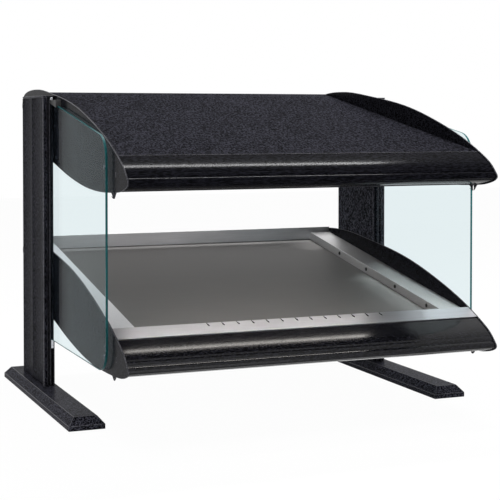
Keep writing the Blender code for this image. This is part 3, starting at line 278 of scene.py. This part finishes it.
def temperedGlass():
    # Float glass, cut, edge-ground and tempered: nearly clear, a little blue-green, with faint wiping marks
    # Its bend is set low, because the white studio would veil what stands behind the pane
    material, tree, shader, place = startMaterial("tempered glass", {
        "Base Color": hexToLinear(pane["tint"]), "Transmission Weight": 1.0, "IOR": pane["bend"]})
    wiped = addNode(tree, "ShaderNodeMapping", {"Rotation": pane["wipeTurn"], "Scale": pane["wipeStretch"]},
                    {"Vector": place})
    film = addNode(tree, "ShaderNodeTexNoise", {"Scale": pane["wipeScale"], "Detail": 4.0},
                   {"Vector": wiped.outputs["Vector"]})
    rough = addNode(tree, "ShaderNodeMapRange",
                    {"From Min": pane["filmFrom"], "From Max": pane["filmTo"],
                     "To Max": pane["filmRoughness"]}, {"Value": film.outputs["Fac"]})
    tree.links.new(rough.outputs["Result"], shader.inputs["Roughness"])
    clear = addNode(tree, "ShaderNodeBsdfTransparent", {"Color": hexToLinear(pane["shadowTint"])})
    path = addNode(tree, "ShaderNodeLightPath")
    mix = addNode(tree, "ShaderNodeMixShader", None, {0: path.outputs["Is Shadow Ray"],
                                                      1: shader.outputs["BSDF"], 2: clear.outputs["BSDF"]})
    tree.links.new(mix.outputs["Shader"], tree.nodes["Material Output"].inputs["Surface"])
    return material


# Powder coat. The sheet parts are pebbled, and the extrusions are smoother and grained along their length
coat = texturedPowderCoat("textured powder coat", "#020203", "#4a4a54",
                          roughness=0.3, grain=2.4, specular=0.005, depth=0.000015)
coatCap = texturedPowderCoat("textured powder coat, end caps", "#040405", "#24242a",  # mirrors the pane
                             roughness=0.2, grain=2.2, specular=0.0095, depth=0.000003)
coatHood = texturedPowderCoat("textured powder coat, hood", "#010101", "#37373f",
                              roughness=0.5, grain=2.9, specular=0.001, stretch=(1.0, 0.45, 1.0))
# Lighter edge coat: partly rubbed wear, partly a painted highlight for the light that catches the rounded
# edges
coatRubbedAndHighlit = texturedPowderCoat("textured powder coat, rubbed and highlit edge", "#2e2e33", "#54545b",
                              roughness=0.4, grain=2.4, specular=0.2)
coatExtrusion = texturedPowderCoat("powder coated extrusion", "#060608", "#1c1c22",  # holds a streak of light
                                   roughness=0.15, grain=2.2, specular=0.2, stretch=(0.3, 1.0, 1.0),
                                   depth=0.000004)
coatHoodBumper = texturedPowderCoat("powder coated extrusion, hood", "#050507", "#1a1a20",
                                    roughness=0.14, grain=2.2, specular=0.009, stretch=(0.3, 1.0, 1.0),
                                    depth=0.000003)
coatPost = texturedPowderCoat("powder coated extrusion, posts", "#020203", "#33333b",
                              roughness=0.35, grain=2.4, specular=0.003, stretch=(1.0, 1.0, 0.6))
# Painted light: the same coat in lighter colours for the right post, whose inner face lies in shade from the
# lamps
coatPostPaintedLighter = texturedPowderCoat("powder coated extrusion, painted lighter", "#08080a", "#54545e",
                                    roughness=0.35, grain=2.4, specular=0.003, stretch=(1.0, 1.0, 0.6))
coatDark = texturedPowderCoat("powder coat, inside faces", "#101012", "#222226",
                              roughness=0.6, grain=2.4, specular=0.03)

# Stainless steel, belt-ground to a satin: it smears the white studio into soft bands
steelAlongX = brushedMetal("satin stainless, brushed across", "#c9c9cc", "#e6e6ea")
steelAlongY = brushedMetal("satin stainless, brushed lengthwise", "#bdbcbb", "#dededf", "y",
                           roughness=0.42, smear=0.5)
steelLeftRail = brushedMetal("satin stainless, brushed lengthwise, lit side", "#dedee0", "#f4f4f6", "y",
                             roughness=0.42, smear=0.5)
steelStrip = brushedMetal("satin stainless, front strip", "#a2a2a5", "#bfbfc4", roughness=0.34, smear=0.6)
steelPlate = brushedMetal("satin stainless, dulled by heat", "#706f6e", "#868483",
                          roughness=0.58, stroke=1.2, smear=0.3)
# Painted shade: the walls inside the strip's notches are near black, for the shade in the holes
notchShade = speckled("punched edge, painted shade in the notches", "#020202", "#070707",  # near black in the notches
                       {"Specular IOR Level": 0.05}, speck=1.0, roughness=0.7)

# Aluminium, rolled: bright, with long rolling lines
brightAluminium = brushedMetal("bright rolled aluminium", "#d9dadc", "#f0f0f2",
                               roughness=0.16, stroke=1.5, marks=0.12)
blanketFoil = brushedMetal("foil of the blanket heater", "#b0b2b5", "#d6d8da", "y",
                           roughness=0.3, stroke=2.0, marks=0.5)

# Plated and stained steel: small parts with an even, finely mottled shine
zincPlate = speckled("bright zinc plate", "#b9bcc2", "#dcdfe4", {"Metallic": 1.0}, speck=1.5, roughness=0.3)
galvanised = galvanisedSheet()
blackOxide = speckled("black oxide on steel", "#0b0b0c", "#1b1b1d", {"Metallic": 0.6},
                      speck=1.2, roughness=0.35)
blackZinc = speckled("black zinc plate", "#3a3a3f", "#5a5a60", {"Metallic": 1.0}, speck=1.2, roughness=0.3)
elementSheath = speckled("heat-stained element sheath", "#3a2f2b", "#6b5d55", {"Metallic": 1.0},
                         speck=4.0, roughness=0.5)

# Glass: the ground edge gathers the pane's green into a dark line
glass = temperedGlass()
glassEdge = speckled("ground glass edge", "#0f4a4c", "#1c6468", {"Transmission Weight": 0.25, "IOR": 1.2},
                     speck=3.0, roughness=0.35)

# Moulded plastics and rubber: a soft shine and a faint orange-peel skin
blackNylon = speckled("moulded black nylon", "#1a1a1b", "#262628", {}, speck=0.9, roughness=0.5)
redSwitch = speckled("moulded red polycarbonate", "#9c1410", "#b81e18", {"Coat Weight": 0.2},
                     speck=1.2, roughness=0.3)
lampPlastic = speckled("clear red lamp plastic", "#b03020", "#c8402c",
                       {"Transmission Weight": 0.4, "IOR": 1.49}, speck=2.0, roughness=0.15)
opalLit = speckled("opal acrylic, lit", "#e9e9e4", "#f4f4f0",
                   {"Emission Color": hexToLinear("#fffaf4"), "Emission Strength": 17.0},
                   speck=1.5, roughness=0.4)
blackRubber = speckled("moulded black rubber", "#161616", "#232323", {},
                       speck=1.0, roughness=0.7, depth=0.0002, strength=0.5)

# Fired, matted and printed: a hard glaze, dull fibres in flat layers, and thin flat ink
glazedCeramic = speckled("glazed steatite", "#e4ddcd", "#f0eadc", {"Coat Weight": 0.5},
                         speck=2.0, roughness=0.25)
mineralWool = speckled("mineral wool", "#8f8355", "#bdb07c", {"Sheen Weight": 0.3},
                       speck=1.2, roughness=0.9, depth=0.001, strength=0.9, stretch=(1.0, 1.0, 4.0))
printedWhite = speckled("white pad-printed ink", "#c9c9c6", "#dededb", {}, speck=0.5, roughness=0.6)
print("materials made")


# Stage, light and camera

def seenStraight(tree):
    # 1 for what the camera, a reflection or the glass shows, 0 for the light that falls on the object
    path = addNode(tree, "ShaderNodeLightPath")
    seen = path.outputs["Is Camera Ray"]
    for ray in ("Is Glossy Ray", "Is Transmission Ray"):
        seen = addNode(tree, "ShaderNodeMath", {"operation": "ADD", "use_clamp": True},
                       {0: seen, 1: path.outputs[ray]}).outputs["Value"]
    return seen


stage = {"floorSize": 12.0, "floorColour": "#ffffff", "floorRoughness": 0.9, "floorGlow": 0.97,
         "worldLevel": 0.28}

floorWork = bmesh.new()
bmesh.ops.create_grid(floorWork, x_segments=1, y_segments=1, size=stage["floorSize"] / 2)
floorMesh = bpy.data.meshes.new("floor")
floorWork.to_mesh(floorMesh)
floorWork.free()
floor = bpy.data.objects.new("floor", floorMesh)
bpy.context.scene.collection.objects.link(floor)
floorPaint, floorTree, floorShader = startMaterial(
    "matt white floor", {"Base Color": hexToLinear(stage["floorColour"]),
                         "Roughness": stage["floorRoughness"], "Specular IOR Level": 0.0})[:3]
glowShare = addNode(floorTree, "ShaderNodeMath", {"operation": "MULTIPLY", 1: stage["floorGlow"]},
                    {0: seenStraight(floorTree)})
glow = addNode(floorTree, "ShaderNodeEmission", {"Color": (1, 1, 1, 1), "Strength": 1.0})
floorMix = addNode(floorTree, "ShaderNodeMixShader", None, {0: glowShare.outputs["Value"],
                                                            1: floorShader.outputs["BSDF"],
                                                            2: glow.outputs["Emission"]})
floorTree.links.new(floorMix.outputs["Shader"], floorTree.nodes["Material Output"].inputs["Surface"])
floorMesh.materials.append(floorPaint)

world = bpy.data.worlds.new("white studio")
bpy.context.scene.world = world
world.use_nodes = True
worldTree = world.node_tree
worldTree.nodes.clear()
level = addNode(worldTree, "ShaderNodeMix", {2: stage["worldLevel"], 3: 1.0}, {0: seenStraight(worldTree)})
background = addNode(worldTree, "ShaderNodeBackground", {"Color": (1, 1, 1, 1)},
                     {"Strength": level.outputs[0]})
addNode(worldTree, "ShaderNodeOutputWorld", None, {"Surface": background.outputs["Background"]})

softboxes = {  # place, aim, width, height, watts
    "overhead strip": ((0.74, 0.68, 2.4), (0.74, -0.2, 0.4), 1.08, 0.1, 46),
    "left softbox": ((-2.6, -0.9, 0.62), (0.0, 0.1, 0.35), 1.4, 1.1, 14),
    "top softbox": ((-0.7, -0.8, 2.5), (0.0, 0.0, 0.3), 1.4, 1.4, 30),
    "front softbox": ((0.6, -3.0, 1.2), (0.0, 0.0, 0.3), 1.2, 1.0, 8)}
for lightName, (place, aim, width, height, watts) in softboxes.items():
    lamp = bpy.data.lights.new(lightName, "AREA")
    lamp.shape = "RECTANGLE"
    lamp.size = width
    lamp.size_y = height
    lamp.energy = watts
    holder = bpy.data.objects.new(lightName, lamp)
    holder.location = place
    holder.rotation_euler = (Vector(aim) - Vector(place)).to_track_quat("-Z", "Y").to_euler()
    bpy.context.scene.collection.objects.link(holder)

view = {"place": (-0.8897, -2.2408, 0.4979), "pitch": 1.5, "yaw": 22.08, "lens": 97.04, "sensor": 36,
        "shiftY": -0.1944}
camera = bpy.data.cameras.new("camera")
camera.lens = view["lens"]
camera.sensor_width = view["sensor"]
camera.shift_y = view["shiftY"]
cameraHolder = bpy.data.objects.new("camera", camera)
cameraHolder.location = view["place"]
cameraHolder.rotation_euler = (math.radians(90 - view["pitch"]), 0, math.radians(-view["yaw"]))
bpy.context.scene.collection.objects.link(cameraHolder)
bpy.context.scene.camera = cameraHolder
bpy.context.scene.view_settings.view_transform = "Standard"
print("stage, light and camera set")

# End caps and bumpers. The bumpers keep the crisp reeds of their solids

endCaps = {"edge": 0.0007}
for tier in ("shelf", "hood"):
    for side in ("left", "right"):
        roundedCopy(f"{tier}_{side}_end_cap", endCaps["edge"], [coatCap, coatRubbedAndHighlit])
for tier, finish in (("shelf", coatExtrusion), ("hood", coatHoodBumper)):
    roundedCopy(f"{tier}_front_bumper", 0, [finish])

# Hood

hood = {"edge": 0.0005}
for panel, finish in (("top", coatHood), ("bottom", coatDark)):
    roundedCopy(f"hood_{panel}_panel", hood["edge"], [finish, coatRubbedAndHighlit])

# Shelf. The strip keeps its punched corners sharp, and its notches are painted near black inside, as shade

shelf = {"notchFace": 0.009, "levelShare": 0.7, "railEdge": 0.0004, "plateEdge": 0.0006, "panelEdge": 0.0004}
strip = roundedCopy("shelf_front_strip", 0, [steelStrip, notchShade])
for face in strip.data.polygons:  # the short faces inside the notches, not the long ones round the strip
    corners = [strip.data.vertices[index].co for index in face.vertices]
    length = max((a - b).length for a in corners for b in corners)
    if length < shelf["notchFace"] and abs(face.normal.dot(shelfUp)) < shelf["levelShare"]:
        face.material_index = 1
for side, finish in (("left", steelLeftRail), ("right", steelAlongY), ("rear", steelAlongX)):
    roundedCopy(f"shelf_{side}_rail", shelf["railEdge"], [finish])
roundedCopy("hot_plate", shelf["plateEdge"], [steelPlate])
roundedCopy("control_panel", shelf["panelEdge"], [coat, coatRubbedAndHighlit])

# Posts, feet and glass

supports = {"postEdge": 0.0008, "capEdge": 0.0005, "footEdge": 0.0006, "clipEdge": 0.0004,
            "stopEdge": 0.0004, "glassEdge": 0.0005, "paneFace": 0.9}
# the right post takes the lighter copy of its coat, painted light for its shaded inner face
for side, postCoat in (("left", coatPost), ("right", coatPostPaintedLighter)):
    roundedCopy(f"{side}_post", supports["postEdge"], [postCoat, coatRubbedAndHighlit])
    roundedCopy(f"{side}_post_cap", supports["capEdge"], [coat, coatRubbedAndHighlit])
    roundedCopy(f"{side}_foot", supports["footEdge"], [coat, coatRubbedAndHighlit])
    roundedCopy(f"{side}_glass_clip", supports["clipEdge"], [blackNylon])
    for height in ("upper", "lower"):
        roundedCopy(f"{side}_{height}_glass_stop", supports["stopEdge"], [zincPlate])
    sheet = roundedCopy(f"{side}_glass", supports["glassEdge"], [glass, glassEdge])
    for face in sheet.data.polygons:  # the two large faces are clear, and all round them is ground
        face.material_index = 0 if abs(face.normal.x) > supports["paneFace"] else 1
print("main pieces made")


# Screws, with a cross recess in each head. They cover the plain heads of the solids

def faceMatrix(place, outward, up):
    out = Vector(outward).normalized()
    right = Vector(up).cross(out).normalized()
    turned = Matrix((right, out.cross(right), out)).transposed().to_4x4()
    return Matrix.Translation(Vector(place)) @ turned


def joinShape(work, shape, matrix):
    bmesh.ops.transform(shape, matrix=matrix, verts=shape.verts)
    held = bpy.data.meshes.new("held")
    shape.to_mesh(held)
    shape.free()
    work.from_mesh(held)
    bpy.data.meshes.remove(held)


def partsOf(made, kind):
    return [item for item in made if isinstance(item, kind)]


# The recess values are shares of the head, which is a half ball until it is flattened
screws = {"radius": 0.0035, "height": 0.0022, "around": 24, "rings": 16, "recess": 0.24, "recessReach": 0.62,
          "recessFloor": 0.1, "armWidth": 0.55, "shadeDegrees": 35}


def screwHead():
    head = bmesh.new()
    bmesh.ops.create_uvsphere(head, u_segments=screws["around"], v_segments=screws["rings"], radius=1.0)
    halved = bmesh.ops.bisect_plane(head, geom=head.verts[:] + head.edges[:] + head.faces[:],
                                    plane_co=(0, 0, 0), plane_no=(0, 0, -1), clear_outer=True)
    bmesh.ops.contextual_create(head, geom=partsOf(halved["geom_cut"], bmesh.types.BMEdge))
    cross = []
    for face in head.faces:
        middle = face.calc_center_median()
        inArm = abs(math.sin(2 * math.atan2(middle.y, middle.x))) < screws["armWidth"]
        inReach = math.hypot(middle.x, middle.y) < screws["recessReach"]
        if inArm and inReach and middle.z > screws["recessFloor"]:
            cross.append(face)
    sunk = bmesh.ops.extrude_face_region(head, geom=cross)
    bmesh.ops.translate(head, vec=(0, 0, -screws["recess"]), verts=partsOf(sunk["geom"], bmesh.types.BMVert))
    bmesh.ops.delete(head, geom=[face for face in cross if face.is_valid], context="FACES")
    bmesh.ops.scale(head, vec=(screws["radius"], screws["radius"], screws["height"]), verts=head.verts)
    return head


def screwRow(name, spots, outward, up, node, material):
    work = bmesh.new()
    for spot in spots:
        joinShape(work, screwHead(), faceMatrix(spot, outward, up))
    finishPiece(work, name, bodyOf[node], [material], shadeDegrees=screws["shadeDegrees"])


def onShelf(x, along, lift):
    slope = shelfFrame["slope"]
    return Vector((x, shelfFrame["corner"][0] + along * math.cos(slope) - lift * math.sin(slope),
                   shelfFrame["corner"][1] + along * math.sin(slope) + lift * math.cos(slope)))


capScrews = {"across": 0.3156, "places": ((-0.232, 0.4211), (-0.232, 0.1417), (-0.228, 0.1277))}
railScrews = {"across": 0.2710, "first": 0.0965, "pitch": 0.1165, "count": 4, "lift": -0.0057}
panelScrews = {"across": 0.295}
for side, sign in (("left", -1), ("right", 1)):
    capSpots = [(sign * capScrews["across"], y, z) for y, z in capScrews["places"]]
    screwRow(f"{side}_cap_screws", capSpots, (sign, 0, 0), (0, 0, 1), f"hood_{side}_end_cap", blackZinc)
    railSpots = [onShelf(sign * railScrews["across"], railScrews["first"] + index * railScrews["pitch"],
                         railScrews["lift"]) for index in range(railScrews["count"])]
    screwRow(f"{side}_rail_screws", railSpots, (-sign, 0, 0), shelfUp, f"shelf_{side}_rail", blackOxide)
panelSpots = [(sign * panelScrews["across"], *panelRow) for sign in (-1, 1)]
screwRow("panel_screws", panelSpots, panelOut, shelfUp, "control_panel", zincPlate)
print("screws made")


# Marks on the controls, printed in white. Each knob turns clockwise from its first mark

def bar(inner, outer, width, height, angle):
    shape = bmesh.new()
    bmesh.ops.create_cube(shape, size=1.0)
    bmesh.ops.scale(shape, vec=(width, outer - inner, height), verts=shape.verts)
    bmesh.ops.translate(shape, vec=(0, (inner + outer) / 2, height / 2), verts=shape.verts)
    bmesh.ops.rotate(shape, cent=(0, 0, 0), matrix=Matrix.Rotation(-angle, 3, "Z"), verts=shape.verts)
    return shape


def number(text, size, ink, weld):
    words = bpy.data.curves.new("number", "FONT")
    words.body = text
    words.size = size
    words.extrude = ink / 2
    words.align_x = "CENTER"
    words.align_y = "CENTER"
    holder = bpy.data.objects.new("number", words)
    bpy.context.scene.collection.objects.link(holder)
    made = bpy.data.meshes.new_from_object(holder.evaluated_get(bpy.context.evaluated_depsgraph_get()))
    shape = bmesh.new()
    shape.from_mesh(made)
    bmesh.ops.remove_doubles(shape, verts=shape.verts, dist=weld)
    bmesh.ops.recalc_face_normals(shape, faces=shape.faces)
    bmesh.ops.translate(shape, vec=(0, 0, ink / 2), verts=shape.verts)
    bpy.data.objects.remove(holder)
    bpy.data.curves.remove(words)
    bpy.data.meshes.remove(made)
    return shape


def ring(radius, width, height, segments):
    shape = bmesh.new()
    bmesh.ops.create_circle(shape, cap_ends=True, segments=segments, radius=radius)
    rim = bmesh.ops.inset_region(shape, faces=shape.faces[:], thickness=width,
                                 use_boundary=True, use_even_offset=True)["faces"]
    bmesh.ops.delete(shape, geom=[face for face in shape.faces if face not in rim], context="FACES")
    raised = bmesh.ops.extrude_face_region(shape, geom=shape.faces[:], use_keep_orig=True)
    bmesh.ops.translate(shape, vec=(0, 0, height), verts=partsOf(raised["geom"], bmesh.types.BMVert))
    bmesh.ops.recalc_face_normals(shape, faces=shape.faces)
    return shape


def meetFace(node, start, direction):
    shape = bmesh.new()
    shape.from_mesh(frame["nodes"][node].data)
    place, normal = BVHTree.FromBMesh(shape).ray_cast(start, direction)[:2]
    shape.free()
    return place, normal


dial = {"ticks": 11, "sweep": 270, "inner": 0.0165, "outer": 0.0188, "tickWidth": 0.0006, "ink": 0.0001,
        "numberRadius": 0.0213, "numberSize": 0.0036, "numberWeld": 0.000002, "pointerWidth": 0.0012,
        "pointerInner": 0.004, "pointerOuter": 0.0105, "standOff": 0.05, "offCentre": 0.006}
for word, across in (("hood_control", -0.05), ("shelf_thermostat", 0.04)):
    place = Vector((across, *panelRow))
    onPanel = faceMatrix(place, panelOut, shelfUp)
    marks = bmesh.new()
    for tick in range(dial["ticks"]):
        angle = math.radians(dial["sweep"] * (tick / (dial["ticks"] - 1) - 0.5))
        joinShape(marks, bar(dial["inner"], dial["outer"], dial["tickWidth"], dial["ink"], angle), onPanel)
        if tick % 2 == 0:
            spot = Matrix.Translation((dial["numberRadius"] * math.sin(angle),
                                       dial["numberRadius"] * math.cos(angle), 0))
            digits = number(str(tick), dial["numberSize"], dial["ink"], dial["numberWeld"])
            joinShape(marks, digits, onPanel @ spot)
    finishPiece(marks, f"{word}_dial_marks", bodyOf["control_panel"], [printedWhite])
    knob = f"{word}_knob"
    above = place + panelOut * dial["standOff"] + shelfUp * dial["offCentre"]
    top = meetFace(knob, above, -panelOut)[0]
    knobFace = faceMatrix(place + panelOut * (top - place).dot(panelOut), panelOut, shelfUp)
    pointer = bmesh.new()
    joinShape(pointer, bar(dial["pointerInner"], dial["pointerOuter"], dial["pointerWidth"], dial["ink"],
                           math.radians(-dial["sweep"] / 2)), knobFace)
    finishPiece(pointer, f"{word}_pointer", bodyOf[knob], [printedWhite])

rockerMarks = {"reach": 0.0075, "standOff": 0.03, "barLength": 0.005, "barWidth": 0.0009,
               "ringRadius": 0.0024, "ringSegments": 24, "ink": 0.0001}
for rocker, across in (("power_rocker", -0.23), ("light_rocker", -0.15)):
    above = Vector((across, *panelRow)) + panelOut * rockerMarks["standOff"]
    halves = [meetFace(rocker, above + shelfUp * way * rockerMarks["reach"], -panelOut) for way in (1, -1)]
    halves.sort(key=lambda half: half[0].dot(panelOut))  # the half that is pressed in at rest comes first
    offFace, onFace = [faceMatrix(spot, outward, shelfUp) for spot, outward in halves]
    marks = bmesh.new()
    joinShape(marks, ring(rockerMarks["ringRadius"], rockerMarks["barWidth"], rockerMarks["ink"],
                          rockerMarks["ringSegments"]), offFace)
    half = rockerMarks["barLength"] / 2
    joinShape(marks, bar(-half, half, rockerMarks["barWidth"], rockerMarks["ink"], 0), onFace)
    finishPiece(marks, f"{rocker}_marks", bodyOf[rocker], [printedWhite])
print("marks made")

# The rest of the solids keep their shape and get their finish

finishes = {"black_plastic": blackNylon, "ceramic": glazedCeramic, "element_sheath": elementSheath,
            "frosted_plastic": opalLit, "galvanised": galvanised, "heater_aluminium": blanketFoil,
            "lamp_plastic": lampPlastic, "mineral_wool": mineralWool, "red_plastic": redSwitch,
            "reflector_aluminium": brightAluminium, "rubber": blackRubber, "stainless": steelAlongX,
            "zinc_steel": zincPlate}
for node, solid in frame["nodes"].items():
    if not solid.hide_render:
        solid.data.materials.clear()
        solid.data.materials.append(finishes[slotOf[node]])
print("finishes given")
